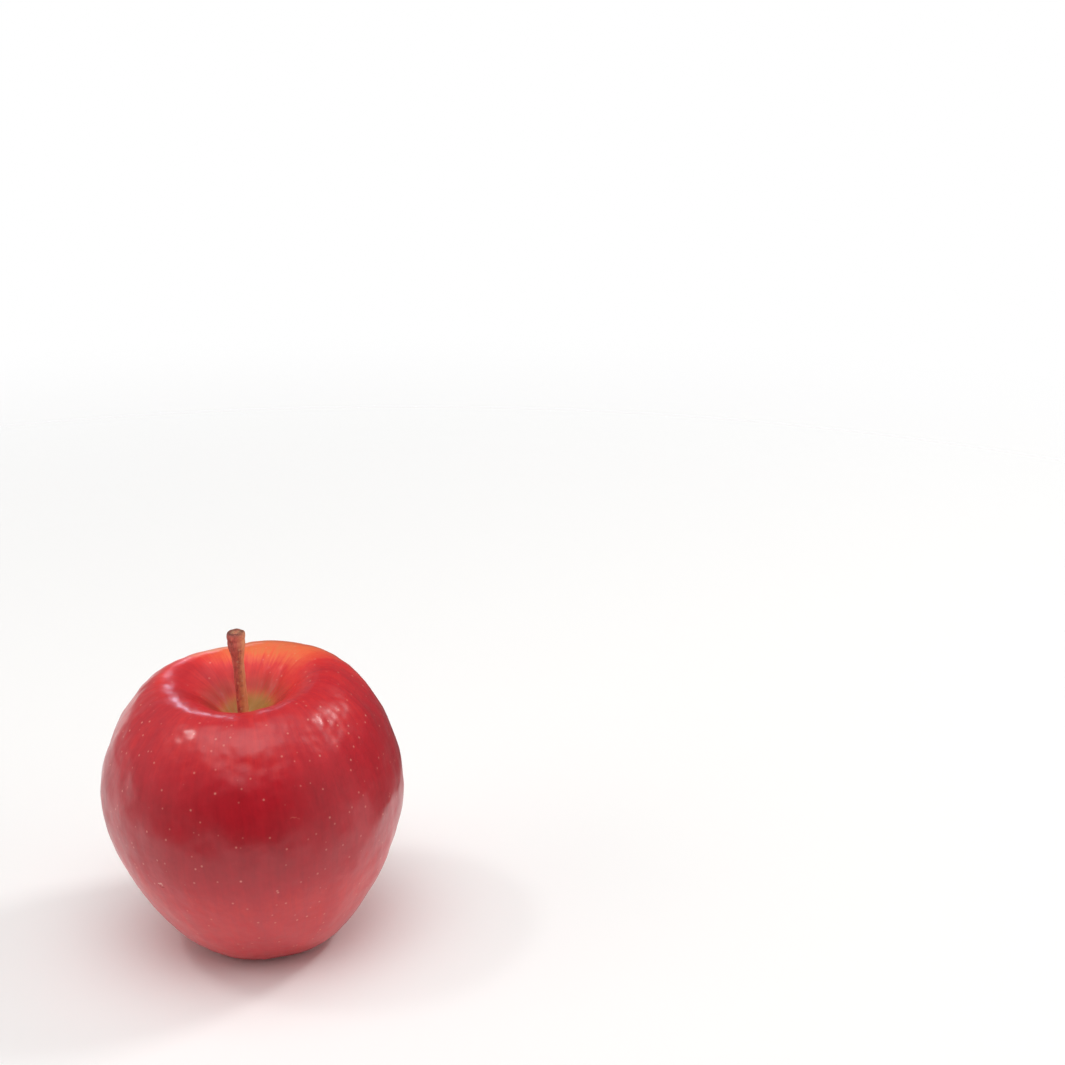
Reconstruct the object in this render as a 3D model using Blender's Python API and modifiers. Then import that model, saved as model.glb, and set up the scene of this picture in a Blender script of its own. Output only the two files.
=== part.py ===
"""A dessert apple standing on its calyx end: fruit, stem, five dried sepals and the stamen tuft.

Every piece is first shaped upright and round about the Z axis, with z = 0 at the middle of the fruit.
One warp then grows them all crooked together, and the fruit is set down with its base at z = 0.
"""

import math

import bmesh
import bpy
import numpy as np

MM = 0.001  # lengths below are in millimetres, and meshes are in metres

# Fruit, as a turned outline
BODY_RADIUS = 38.5
BODY_HALF_HEIGHT = 43.5
POLE_SHARE = 4.0  # how much the two ends draw in towards the middle
SWELL = (1.0, 0.36, -0.05, -0.19)  # radius as a polynomial in the cosine of the polar angle
CAVITY_DEPTH = 19.5
CAVITY_RADIUS = 16.5
CAVITY_STEEPNESS = 2.3
THROAT_DEPTH = 4.5
THROAT_RADIUS = 5.5
BASIN_DEPTH = 14.0
BASIN_RADIUS = 11.5

# Fruit, as it grew
LOBES = 5
LOBE_SWELL = 0.026  # share of the radius, at the calyx end
LOBE_TURN = 0.5  # radians
LOBE_DROP = 0.8  # how far the lobes hang below the ring between them
LOBE_RING_RADIUS = 13.0
LOBE_RING_WIDTH = 5.0
SHOULDER_SWELL = 0.011
SHOULDER_TURN = 0.15
THREE_SIDED = -0.011
THREE_SIDED_TURN = -0.2
OVAL = 0.020
OVAL_TURN = 1.2
CROWN_RISE = (0.04, 0.09)  # slope of the shoulders along X and Y
THROAT_SHIFT = -1.25  # along X, because the stem grew to one side of the cavity
THROAT_REACH = 7.0  # how far from the axis that shift is felt
THROAT_FLOOR = 15.0  # above this height it is felt in full
LEAN = (-0.05, 0.04)  # slope of the fruit's axis along X and Y
REST_FLAT = 0.45  # how deep the table flattens the lobes

# Openings in the fruit that hold the stem and the stamens
SOCKET_RADIUS = 1.8
SOCKET_DEPTH = 4.0
TUBE_RADIUS = 2.2
TUBE_DEPTH = 3.0
GAP = 0.35  # clearance between pieces that touch

# Stem
STEM_TOP = 48.8  # above the middle of the fruit
STEM_KNOB_RADIUS = 2.25
STEM_KNOB_LENGTH = 5.5
STEM_KNOB_STEEPNESS = 4.0
STEM_KNOB_EDGE = 0.7
STEM_NECK_RADIUS = 1.45
STEM_BASE_RADIUS = SOCKET_RADIUS - GAP

# Sepals and stamens
SEPAL_COUNT = 5
SEPAL_TURN = 0.2
SEPAL_THICKNESS = 0.45
SEPAL_HALF_WIDTH = 2.0
SEPAL_TIP_HALF_WIDTH = 0.3
SEPAL_TAPER = 1.6  # above 1 keeps the leaf broad for longer
SEPAL_ROUTE = ((4.0, 0.6), (2.2, 1.2), (2.2, 3.6), (5.6, 3.9))  # radius, and drop below the basin at the first
TUFT_RADIUS = 1.5
TUFT_LENGTH = 4.6
TUFT_ROOT_SHARE = 0.6  # of the tuft's radius, at its root
TUFT_TIP_RISE = 0.3

# Resolution
BODY_STEPS = 60
BODY_ROWS = 44
STEM_STEPS = 16
TUFT_STEPS = 12
SEPAL_GRID = (5, 9)

AXIS_MERGE = 0.00001  # metres
SHARP_EDGE = math.radians(50.0)


def clear_scene():
    for thing in list(bpy.data.objects):
        bpy.data.objects.remove(thing)


def material(name, colour, roughness, metallic=0.0):
    made = bpy.data.materials.new(name)
    made.use_nodes = True
    shader = made.node_tree.nodes["Principled BSDF"]
    shader.inputs["Base Color"].default_value = (*colour, 1.0)
    shader.inputs["Roughness"].default_value = roughness
    shader.inputs["Metallic"].default_value = metallic
    made.diffuse_color = (*colour, 1.0)
    return made


def outline(angle):
    """Radius and height of the fruit's outline at a polar angle, 0 at the stem and pi at the calyx."""
    angles = np.linspace(0.0, math.pi, 721)
    widest = np.max(np.sin(angles) * np.polynomial.polynomial.polyval(np.cos(angles), SWELL))
    cosine = np.cos(angle)
    radius = np.sin(angle) * np.polynomial.polynomial.polyval(cosine, SWELL) * BODY_RADIUS / widest
    height = BODY_HALF_HEIGHT * cosine + POLE_SHARE * np.cos(2.0 * angle)
    cavity = CAVITY_DEPTH * np.exp(-((radius / CAVITY_RADIUS) ** CAVITY_STEEPNESS))
    throat = THROAT_DEPTH * np.exp(-((radius / THROAT_RADIUS) ** 2))
    basin = BASIN_DEPTH * np.exp(-((radius / BASIN_RADIUS) ** 2))
    return radius, height + np.where(cosine > 0.0, -cavity - throat, basin)


def angle_at(radius, upper):
    """Polar angle at which the outline has this radius, near the stem or near the calyx."""
    angles = np.linspace(0.0, 0.3, 601) if upper else math.pi - np.linspace(0.0, 0.3, 601)
    return float(np.interp(radius, outline(angles)[0], angles))


def grown(points):
    """Move points of a round, upright apple to where they are on this leaning, lobed one."""
    x, y, z = points.T
    turn = np.arctan2(y, x)
    radius = np.hypot(x, y)
    upper = np.clip(z / BODY_HALF_HEIGHT, 0.0, 1.0) ** 2
    lower = np.clip(-z / BODY_HALF_HEIGHT, 0.0, 1.0) ** 2
    lobe = np.cos(LOBES * (turn - LOBE_TURN))
    share = 1.0 + LOBE_SWELL * lower * lobe
    share += SHOULDER_SWELL * upper * np.cos(LOBES * (turn - SHOULDER_TURN))
    share += THREE_SIDED * np.cos(3.0 * (turn - THREE_SIDED_TURN))
    share += OVAL * np.cos(2.0 * (turn - OVAL_TURN))
    x = x * share
    y = y * share
    x = x + THROAT_SHIFT * np.exp(-((radius / THROAT_REACH) ** 2)) * np.clip(z / THROAT_FLOOR, 0.0, 1.0)
    ring = np.exp(-(((radius - LOBE_RING_RADIUS) / LOBE_RING_WIDTH) ** 2))
    z = z + (CROWN_RISE[0] * x + CROWN_RISE[1] * y) * upper - LOBE_DROP * ring * lower * lobe
    return np.column_stack((x + LEAN[0] * z, y + LEAN[1] * z, z))


def mesh_points(mesh):
    flat = np.empty(len(mesh.vertices) * 3)
    mesh.vertices.foreach_get("co", flat)
    return flat.reshape(-1, 3) / MM


def set_mesh_points(mesh, points):
    mesh.vertices.foreach_set("co", (points * MM).ravel())
    mesh.update()


def baked(name, source, collection, finish):
    """Replace an object by the mesh its modifiers make, so that its points can be moved."""
    view = bpy.context.evaluated_depsgraph_get()
    mesh = bpy.data.meshes.new_from_object(source.evaluated_get(view))
    bpy.data.objects.remove(source)
    mesh.name = name
    mesh.materials.clear()
    mesh.materials.append(finish)
    made = bpy.data.objects.new(name, mesh)
    collection.objects.link(made)
    return made


def turned(name, profile, steps, collection, finish):
    """A solid of revolution from a profile of (radius, height) that runs down its outer side."""
    mesh = bpy.data.meshes.new(name + "_profile")
    corners = [(radius * MM, 0.0, height * MM) for radius, height in profile]
    mesh.from_pydata(corners, [(i, i + 1) for i in range(len(corners) - 1)], [])
    source = bpy.data.objects.new(name + "_profile", mesh)
    collection.objects.link(source)
    screw = source.modifiers.new("Turn", "SCREW")
    screw.axis = "Z"
    screw.steps = steps
    screw.render_steps = steps
    screw.use_merge_vertices = True
    screw.merge_threshold = AXIS_MERGE
    return baked(name, source, collection, finish)


def make_body(collection, finish):
    """The fruit: socket for the stem, cavity, flank, basin, and the tube that holds the stamens."""
    start = angle_at(SOCKET_RADIUS, True)
    end = angle_at(TUBE_RADIUS, False)
    socket_rim = outline(start)[1]
    tube_rim = outline(end)[1]
    profile = [(0.0, socket_rim - SOCKET_DEPTH), (SOCKET_RADIUS, socket_rim - SOCKET_DEPTH)]
    profile += list(zip(*outline(np.linspace(start, end, BODY_ROWS))))
    profile += [(TUBE_RADIUS, tube_rim + TUBE_DEPTH), (0.0, tube_rim + TUBE_DEPTH)]
    return turned("apple_body", profile, BODY_STEPS, collection, finish)


def make_stem(collection, finish):
    """The stalk: a flat scar on a swollen knob, a thin neck, and a foot that fills the socket."""
    foot = outline(angle_at(SOCKET_RADIUS, True))[1] - SOCKET_DEPTH + GAP
    length = STEM_TOP - foot
    profile = [(0.0, STEM_TOP)]
    for turn in np.linspace(0.0, math.pi / 2.0, 4):
        inset = STEM_KNOB_EDGE * (1.0 - math.sin(turn))
        drop = STEM_KNOB_EDGE * (1.0 - math.cos(turn))
        profile.append((STEM_KNOB_RADIUS - inset, STEM_TOP - drop))
    for drop in np.linspace(STEM_KNOB_EDGE, length, 13)[1:]:
        knob = math.exp(-((drop / STEM_KNOB_LENGTH) ** STEM_KNOB_STEEPNESS))
        plain = STEM_NECK_RADIUS + (STEM_BASE_RADIUS - STEM_NECK_RADIUS) * drop / length
        profile.append((plain + (STEM_KNOB_RADIUS - STEM_NECK_RADIUS) * knob, STEM_TOP - drop))
    profile.append((0.0, foot))
    return turned("stem", profile, STEM_STEPS, collection, finish)


def make_tuft(collection, finish):
    """The dried stamens and styles: a brush that stands in the tube and spreads a little at its end."""
    rim = outline(angle_at(TUBE_RADIUS, False))[1]
    top = rim + TUBE_DEPTH - GAP
    profile = [(0.0, top), (TUFT_ROOT_SHARE * TUFT_RADIUS, top)]
    for part in np.linspace(0.15, 1.0, 5):
        spread = TUFT_RADIUS * (TUFT_ROOT_SHARE + (1.0 - TUFT_ROOT_SHARE) * part**2)
        profile.append((spread, top - TUFT_LENGTH * part))
    profile.append((0.0, top - TUFT_LENGTH - TUFT_TIP_RISE))
    return turned("stamen_tuft", profile, TUFT_STEPS, collection, finish)


def make_sepal(number, collection, finish):
    """One dried sepal: a leaf that starts on the basin floor, closes over the eye and curls back."""
    across, along = SEPAL_GRID
    middle = SEPAL_TURN + 2.0 * math.pi * number / SEPAL_COUNT
    route = np.array(SEPAL_ROUTE)
    floor = outline(angle_at(route[0, 0], False))[1]
    grid = bmesh.new()
    rows = []
    for part in np.linspace(0.0, 1.0, along):
        weights = [(1.0 - part) ** 3, 3.0 * part * (1.0 - part) ** 2, 3.0 * part**2 * (1.0 - part), part**3]
        radius, drop = np.array(weights) @ route
        half = SEPAL_TIP_HALF_WIDTH + (SEPAL_HALF_WIDTH - SEPAL_TIP_HALF_WIDTH) * (1.0 - part**SEPAL_TAPER)
        turns = middle + np.linspace(-half, half, across) / radius
        rows.append([
            grid.verts.new((radius * math.cos(t) * MM, radius * math.sin(t) * MM, (floor - drop) * MM))
            for t in turns
        ])
    for upper, lower in zip(rows, rows[1:]):
        for i in range(across - 1):
            grid.faces.new((upper[i], lower[i], lower[i + 1], upper[i + 1]))
    mesh = bpy.data.meshes.new("sepal_sheet")
    grid.to_mesh(mesh)
    grid.free()
    sheet = bpy.data.objects.new("sepal_sheet", mesh)
    collection.objects.link(sheet)
    solidify = sheet.modifiers.new("Thickness", "SOLIDIFY")
    solidify.thickness = SEPAL_THICKNESS * MM
    solidify.offset = 0.0
    return baked("sepal_%d" % (number + 1), sheet, collection, finish)


def settle(pieces):
    """Grow every piece crooked, flatten the lobes on the table and centre the fruit over the origin."""
    shaped = {piece: grown(mesh_points(piece.data)) for piece in pieces}
    body = shaped[pieces[0]]
    table = body[:, 2].min() + REST_FLAT
    body[:, 2] = np.maximum(body[:, 2], table)
    shift = np.append((body[:, :2].min(axis=0) + body[:, :2].max(axis=0)) / 2.0, table)
    for piece, points in shaped.items():
        set_mesh_points(piece.data, points - shift)
        piece.data.shade_smooth()
        piece.data.set_sharp_from_angle(angle=SHARP_EDGE)


def build():
    clear_scene()
    collection = bpy.data.collections.new("apple")
    bpy.context.scene.collection.children.link(collection)
    skin = material("apple_skin", (0.45, 0.02, 0.03), 0.3)
    wood = material("stem_wood", (0.22, 0.10, 0.05), 0.7)
    leaf = material("dried_sepal", (0.30, 0.20, 0.10), 0.85)
    hair = material("dried_stamen", (0.12, 0.07, 0.04), 0.9)
    pieces = [make_body(collection, skin), make_stem(collection, wood)]
    pieces += [make_sepal(number, collection, leaf) for number in range(SEPAL_COUNT)]
    pieces.append(make_tuft(collection, hair))
    settle(pieces)


build()
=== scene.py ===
import math

import bpy
import numpy as np
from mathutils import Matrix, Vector


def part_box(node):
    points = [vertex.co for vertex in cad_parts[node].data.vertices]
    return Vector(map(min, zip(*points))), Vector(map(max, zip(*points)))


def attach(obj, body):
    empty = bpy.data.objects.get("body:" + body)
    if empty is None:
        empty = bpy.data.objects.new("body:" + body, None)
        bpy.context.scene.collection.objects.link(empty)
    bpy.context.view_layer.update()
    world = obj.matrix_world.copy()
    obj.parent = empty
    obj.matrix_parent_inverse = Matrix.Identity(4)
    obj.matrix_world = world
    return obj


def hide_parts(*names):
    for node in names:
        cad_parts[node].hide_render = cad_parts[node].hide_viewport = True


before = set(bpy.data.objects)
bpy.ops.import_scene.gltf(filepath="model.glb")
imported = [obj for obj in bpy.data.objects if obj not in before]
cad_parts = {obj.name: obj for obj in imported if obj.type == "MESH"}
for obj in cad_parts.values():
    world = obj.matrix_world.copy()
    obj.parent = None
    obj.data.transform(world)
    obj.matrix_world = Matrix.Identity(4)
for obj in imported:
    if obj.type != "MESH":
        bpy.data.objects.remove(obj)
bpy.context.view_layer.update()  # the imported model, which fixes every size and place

mm = 0.001  # shapes are worked out in millimetres and put into meshes in metres


# the shape that every piece grows from, in millimetres and radians
fruit = {
    "radius": 38.5, "halfHeight": 43.5, "poleShare": 4.0,  # widest radius, and how far the poles stand out
    "swell": (1.0, 0.36, -0.05, -0.19),  # radius as a polynomial in the cosine of the polar angle
    "cavityDepth": 19.5, "cavityRadius": 16.5, "cavitySteepness": 2.3,
    "throatDepth": 4.5, "throatRadius": 5.5,  # the narrow foot of the stem cavity
    "basinDepth": 14.0, "basinRadius": 11.5,
    "lobes": 5, "lobeSwell": 0.026, "lobeTurn": 0.5, "lobeDrop": 0.8, "lobeRing": 13.0, "lobeWidth": 5.0,
    "shoulderSwell": 0.011, "shoulderTurn": 0.15,
    "threeSided": -0.011, "threeSidedTurn": -0.2, "oval": 0.020, "ovalTurn": 1.2,
    "throatShift": -1.25, "throatReach": 7.0, "throatFloor": 15.0,  # the stem stands a little to -X
    "crownRise": (0.04, 0.09), "lean": (-0.05, 0.04),  # rise and lean towards +X and +Y
    "restFlat": 0.45,  # how much of the lobes' feet is flattened by what the fruit stands on
}


def outline(angle):
    # Radius and height at a polar angle, 0 at the stem and pi at the calyx: a swollen ball whose two ends
    # are pressed in by bell curves, a wide and a narrow one for the stem cavity and one for the calyx basin
    angles = np.linspace(0.0, math.pi, 721)
    swell = np.polynomial.polynomial.polyval
    widest = np.max(np.sin(angles) * swell(np.cos(angles), fruit["swell"]))
    cosine = np.cos(angle)
    radius = np.sin(angle) * swell(cosine, fruit["swell"]) * fruit["radius"] / widest
    height = fruit["halfHeight"] * cosine + fruit["poleShare"] * np.cos(2.0 * angle)
    cavity = fruit["cavityDepth"] * np.exp(-((radius / fruit["cavityRadius"]) ** fruit["cavitySteepness"]))
    throat = fruit["throatDepth"] * np.exp(-((radius / fruit["throatRadius"]) ** 2))
    basin = fruit["basinDepth"] * np.exp(-((radius / fruit["basinRadius"]) ** 2))
    return radius, height + np.where(cosine > 0.0, -cavity - throat, basin)


def angleAt(radius, upper):
    # Polar angle at which the outline has this radius, near the stem or near the calyx
    angles = np.linspace(0.0, 0.3, 601) if upper else math.pi - np.linspace(0.0, 0.3, 601)
    return float(np.interp(radius, outline(angles)[0], angles))


def grown(points):
    # Moves points of a round, upright apple to where they are on this one: five lobes that grow towards the
    # calyx, a slightly oval and three-sided girth, a stem that stands to one side of the cavity, shoulders
    # that rise to one side, and a leaning axis
    x, y, z = np.moveaxis(points, -1, 0)
    turn = np.arctan2(y, x)
    radius = np.hypot(x, y)
    upper = np.clip(z / fruit["halfHeight"], 0.0, 1.0) ** 2
    lower = np.clip(-z / fruit["halfHeight"], 0.0, 1.0) ** 2
    lobe = np.cos(fruit["lobes"] * (turn - fruit["lobeTurn"]))
    share = 1.0 + fruit["lobeSwell"] * lower * lobe
    share += fruit["shoulderSwell"] * upper * np.cos(fruit["lobes"] * (turn - fruit["shoulderTurn"]))
    share += fruit["threeSided"] * np.cos(3.0 * (turn - fruit["threeSidedTurn"]))
    share += fruit["oval"] * np.cos(2.0 * (turn - fruit["ovalTurn"]))
    x = x * share
    y = y * share
    throat = np.exp(-((radius / fruit["throatReach"]) ** 2)) * np.clip(z / fruit["throatFloor"], 0.0, 1.0)
    x = x + fruit["throatShift"] * throat
    ring = np.exp(-(((radius - fruit["lobeRing"]) / fruit["lobeWidth"]) ** 2))
    rise = (fruit["crownRise"][0] * x + fruit["crownRise"][1] * y) * upper
    z = z + rise - fruit["lobeDrop"] * ring * lower * lobe
    return np.stack((x + fruit["lean"][0] * z, y + fruit["lean"][1] * z, z), axis=-1)


def ringed(radius, height, turns):
    # A turned surface: every row of radii and heights carried round the axis
    radius = np.broadcast_to(np.asarray(radius, float).reshape(len(radius), -1), (len(radius), len(turns)))
    height = np.broadcast_to(np.asarray(height, float).reshape(len(height), -1), radius.shape)
    return np.stack((radius * np.cos(turns), radius * np.sin(turns), height), axis=-1)


def waves(points, length, seed, count=36):
    # Smooth roughness of about unit height: a sum of cosines of random direction, each about one length long
    draw = np.random.default_rng(seed)
    ways = draw.normal(size=(count, 3))
    ways *= 2.0 * math.pi / (length * draw.uniform(0.75, 1.35, count) * np.linalg.norm(ways, axis=1))[:, None]
    return np.cos(points @ ways.T + draw.uniform(0.0, 2.0 * math.pi, count)).sum(axis=-1) / math.sqrt(count)


def outward(grid):
    # Unit normals of a grid of rings that run from the top pole to the bottom one
    down = np.gradient(grid, axis=0)
    around = np.roll(grid, -1, axis=1) - np.roll(grid, 1, axis=1)
    normal = np.cross(down, around)
    return normal / np.maximum(np.linalg.norm(normal, axis=-1, keepdims=True), 1e-12)


def bell(distance, width):
    # Bell curve: e to the power of minus the square of distance over width
    return np.exp(-((distance / width) ** 2))


def ease(value, low, high):
    # Smooth step from 0 at low to 1 at high
    part = np.clip((value - low) / (high - low), 0.0, 1.0)
    return part * part * (3.0 - 2.0 * part)


def between(first, second, part):
    # Straight blend: the first value plus this part of the way to the second
    return first + (second - first) * part


def ringFaces(rows, columns, start=0):
    # Quads of a tube of rings, facing out when the rings run from top to bottom
    row, column = np.meshgrid(np.arange(rows - 1), np.arange(columns), indexing="ij")
    here = start + row * columns + column
    there = start + row * columns + (column + 1) % columns
    return np.stack((here, here + columns, there + columns, there), axis=-1).reshape(-1, 4)


def capFaces(rows, columns, start=0):
    # Triangles from the two poles, which follow the rings in the list of points
    column = np.arange(columns)
    following = (column + 1) % columns
    top = start + rows * columns
    last = start + (rows - 1) * columns
    upper = np.stack((np.full(columns, top), start + column, start + following), axis=-1)
    lower = np.stack((np.full(columns, top + 1), last + following, last + column), axis=-1)
    return np.concatenate((upper, lower))


def closedTube(grid, start=0):
    # Points and faces of a surface of rings closed at both ends by the mean of its end rings
    rows, columns = grid.shape[:2]
    points = np.concatenate((grid.reshape(-1, 3), grid[0].mean(axis=0)[None], grid[-1].mean(axis=0)[None]))
    faces = ringFaces(rows, columns, start).tolist() + capFaces(rows, columns, start).tolist()
    return points, faces


def turnGrain(turns, along, poles):
    # For each point of a closed tube: cosine and sine of its turn, and how far along it is
    grain = np.broadcast_arrays(np.cos(turns)[None, :], np.sin(turns)[None, :], along[:, None])
    ends = [[0.0, 0.0, pole] for pole in poles]
    return np.concatenate((np.stack(grain, axis=-1).reshape(-1, 3), ends))


def makePiece(name, points, faces, material, body="root", grain=None):
    # A smooth piece from points in millimetres, with a vector at each point for its pattern to follow
    mesh = bpy.data.meshes.new(name)
    mesh.from_pydata((points * mm).tolist(), [], faces)
    mesh.polygons.foreach_set("use_smooth", np.ones(len(mesh.polygons), bool))
    if grain is not None:
        layer = mesh.attributes.new("grain", "FLOAT_VECTOR", "POINT")
        layer.data.foreach_set("vector", np.asarray(grain, np.float32).ravel())
    mesh.materials.append(material)
    mesh.validate()
    piece = bpy.data.objects.new(name, mesh)
    bpy.context.scene.collection.objects.link(piece)
    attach(piece, body)
    return piece


class Wire:
    # A value in a material: arithmetic on it adds Math nodes, and node() adds any other node
    def __init__(self, tree, socket=None):
        self.tree = tree
        self.socket = socket

    def node(self, kind, settings, inputs, output=0):
        # A node of this kind: its settings are made first, then its sockets get values or links
        made = self.tree.nodes.new(kind)
        for key, value in settings.items():
            if key == "stops":
                ramp = made.color_ramp
                while len(ramp.elements) < len(value):
                    ramp.elements.new(0.5)
                for element, (place, colour) in zip(ramp.elements, value):
                    element.position = place
                    element.color = (*colour, 1.0)
            else:
                setattr(made, key, value)
        for key, value in inputs.items():
            if isinstance(value, Wire):
                self.tree.links.new(value.socket, made.inputs[key])
            else:
                made.inputs[key].default_value = value
        return Wire(self.tree, made.outputs[output])

    def math(self, operation, first, second=0.0):
        # One Math node, which takes values and numbers alike
        return self.node("ShaderNodeMath", {"operation": operation}, {0: first, 1: second})

    def __add__(self, other):
        return self.math("ADD", self, other)

    def __sub__(self, other):
        return self.math("SUBTRACT", self, other)

    def __rsub__(self, other):
        return self.math("SUBTRACT", other, self)

    def __mul__(self, other):
        return self.math("MULTIPLY", self, other)

    def __truediv__(self, other):
        return self.math("DIVIDE", self, other)

    def __pow__(self, other):
        return self.math("POWER", self, other)

    __radd__ = __add__
    __rmul__ = __mul__

    def ease(self, low, high):
        # Smooth step from 0 at low to 1 at high, which also runs down when low is the larger
        if low > high:
            return 1.0 - self.ease(high, low)
        sockets = {"Value": self, "From Min": low, "From Max": high}
        return self.node("ShaderNodeMapRange", {"interpolation_type": "SMOOTHSTEP"}, sockets)

    def bell(self, middle, width):
        # Bell curve of height 1 around middle
        away = (self - middle) / width
        return self.math("POWER", 2.718, 0.0 - away * away)  # 2.718 stands for e

    def tint(self, first, second, share, mode="MIX"):
        # The first colour, with this share of the second over it
        sockets = {0: share, 6: first, 7: second}
        return self.node("ShaderNodeMix", {"data_type": "RGBA", "blend_type": mode}, sockets, 2)

    def noise(self, place, scale, detail=2.0, roughness=0.5, distortion=0.0):
        # A cloudy value of about 0 to 1, with a mean near 0.5
        sockets = {"Vector": place, "Scale": scale, "Detail": detail, "Roughness": roughness}
        sockets["Distortion"] = distortion
        return self.node("ShaderNodeTexNoise", {"noise_dimensions": "3D"}, sockets)

    def scaled(self, place, factors):
        # A vector times a vector
        return self.node("ShaderNodeVectorMath", {"operation": "MULTIPLY"}, {0: place, 1: factors})

    def apart(self, vector):
        # The three numbers of a vector
        made = self.node("ShaderNodeSeparateXYZ", {}, {0: vector})
        return [Wire(self.tree, socket) for socket in made.socket.node.outputs]

    def distance(self, place, point):
        # How far a place is from a point
        return self.node("ShaderNodeVectorMath", {"operation": "DISTANCE"}, {0: place, 1: point}, 1)

    def swirl(self, place, scale):
        # A noise of three numbers, for pushing a place about
        return self.node("ShaderNodeTexNoise", {}, {"Vector": place, "Scale": scale, "Detail": 2.0}, "Color")

    def shifted(self, place, push, amounts):
        # A place moved by a push times these amounts
        sockets = {0: push, 1: amounts, 2: place}
        return self.node("ShaderNodeVectorMath", {"operation": "MULTIPLY_ADD"}, sockets)


def rgb(*values):
    # A colour as sockets take it, with full alpha
    return (*values, 1.0)


def startMaterial(name, constants):
    # A material with one Principled shader, whose unchanging sockets are set here
    material = bpy.data.materials.new(name)
    material.use_nodes = True
    tree = material.node_tree
    shader = tree.nodes["Principled BSDF"]
    for key, value in constants.items():
        shader.inputs[key].default_value = value
    return material, Wire(tree), shader


def connect(wire, shader, **sockets):
    # Links values to the shader's sockets, whose names are given with _ for each space
    for key, value in sockets.items():
        wire.tree.links.new(value.socket, shader.inputs[key.replace("_", " ")])


def blend(wire, share, first, second):
    # The material's surface: the first shader, with this share of the second in its place
    mixed = wire.node("ShaderNodeMixShader", {}, {0: share, 1: first, 2: second})
    wire.tree.links.new(mixed.socket, wire.tree.nodes["Material Output"].inputs["Surface"])


skinLook = {
    "ramp": (  # colour of the skin from bare ground to the deepest blush
        (0.00, (0.52, 0.30, 0.080)), (0.16, (0.74, 0.26, 0.070)), (0.34, (0.90, 0.135, 0.050)),
        (0.52, (0.79, 0.030, 0.027)), (0.74, (0.51, 0.009, 0.020)), (1.00, (0.27, 0.004, 0.011)),
    ),
    # the throat brown is partly the skin's own brown and partly painted shade in the narrow throat round the
    # stem
    "leafGreen": rgb(0.37, 0.24, 0.045), "throatShadeBrown": rgb(0.34, 0.055, 0.030),
    # the rose below is painted reflection of the white floor
    "russet": rgb(0.34, 0.17, 0.06), "floorReflectionPink": rgb(0.66, 0.070, 0.085),
    "cloudNoise": (42.0, 3.0, 0.55), "fineNoise": (620.0, 3.0, 0.55),  # scale, detail and roughness
    "poreNoise": (2600.0, 2.0, 0.6), "dimpleNoise": (300.0, 2.0, 0.5),
    "swayScale": 90.0, "sway": (0.07, 0.07, 0.05),  # how the streaks wander
    "streakGrain": (8.0, 8.0, 3.2), "hairGrain": (34.0, 34.0, 8.0), "radialGrain": (20.0, 20.0, 5.0),
    "blush": 0.70, "streaks": 0.22, "hairs": 0.16, "mottle": 0.12, "clouds": 0.16,
    # zones, as shares of the way from stem to calyx: where each starts, and where it is full
    "cavity": (0.074, 0.036), "wall": (0.15, 0.09), "basin": (0.86, 0.94),
    "bandTop": (0.24, 0.34), "bandFoot": (0.54, 0.42), "bandBlush": 0.13,  # deeper round the middle
    # a little less blush below, and the rose tint there is painted reflection of the white floor
    "foot": (0.45, 0.62), "footBlush": -0.05, "floorReflectionZone": (0.44, 0.68),  # paler and rosier below
    # paler sides: the turn that each faces, in degrees from +X, and how squarely the skin has to face it
    "patchTurn": 84.0, "patchSide": (0.32, 1.0), "patchTop": (0.092, 0.142), "patchFoot": (0.66, 0.16),
    "patchFade": 0.41, "back": (0.20, 0.36), "backFade": 0.20,
    "shoulderTurn": 8.0, "shoulderSide": (0.2, 1.0), "shoulder": (0.30, 0.15), "shoulderFade": 0.03,
    "crestTurn": 150.0, "crestSide": (0.55, 1.0), "crest": (0.170, 0.014), "crestFade": 0.17,
    "wallTurn": 50.0, "wallSide": (-0.2, 1.0), "wallFade": 0.14, "throatRing": (0.066, 0.020),
    "dot": rgb(0.90, 0.38, 0.30), "dotPitch": 2.5, "dotRadius": 0.42,  # lenticels, in mm
    "raggedScale": 900.0, "ragged": 2.2,  # how far the edge of a mark wanders, in mm
    "roughness": 0.345, "coat": 0.36, "coatRoughness": 0.16, "bumpHeight": 0.10,  # bump in mm
}


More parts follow.
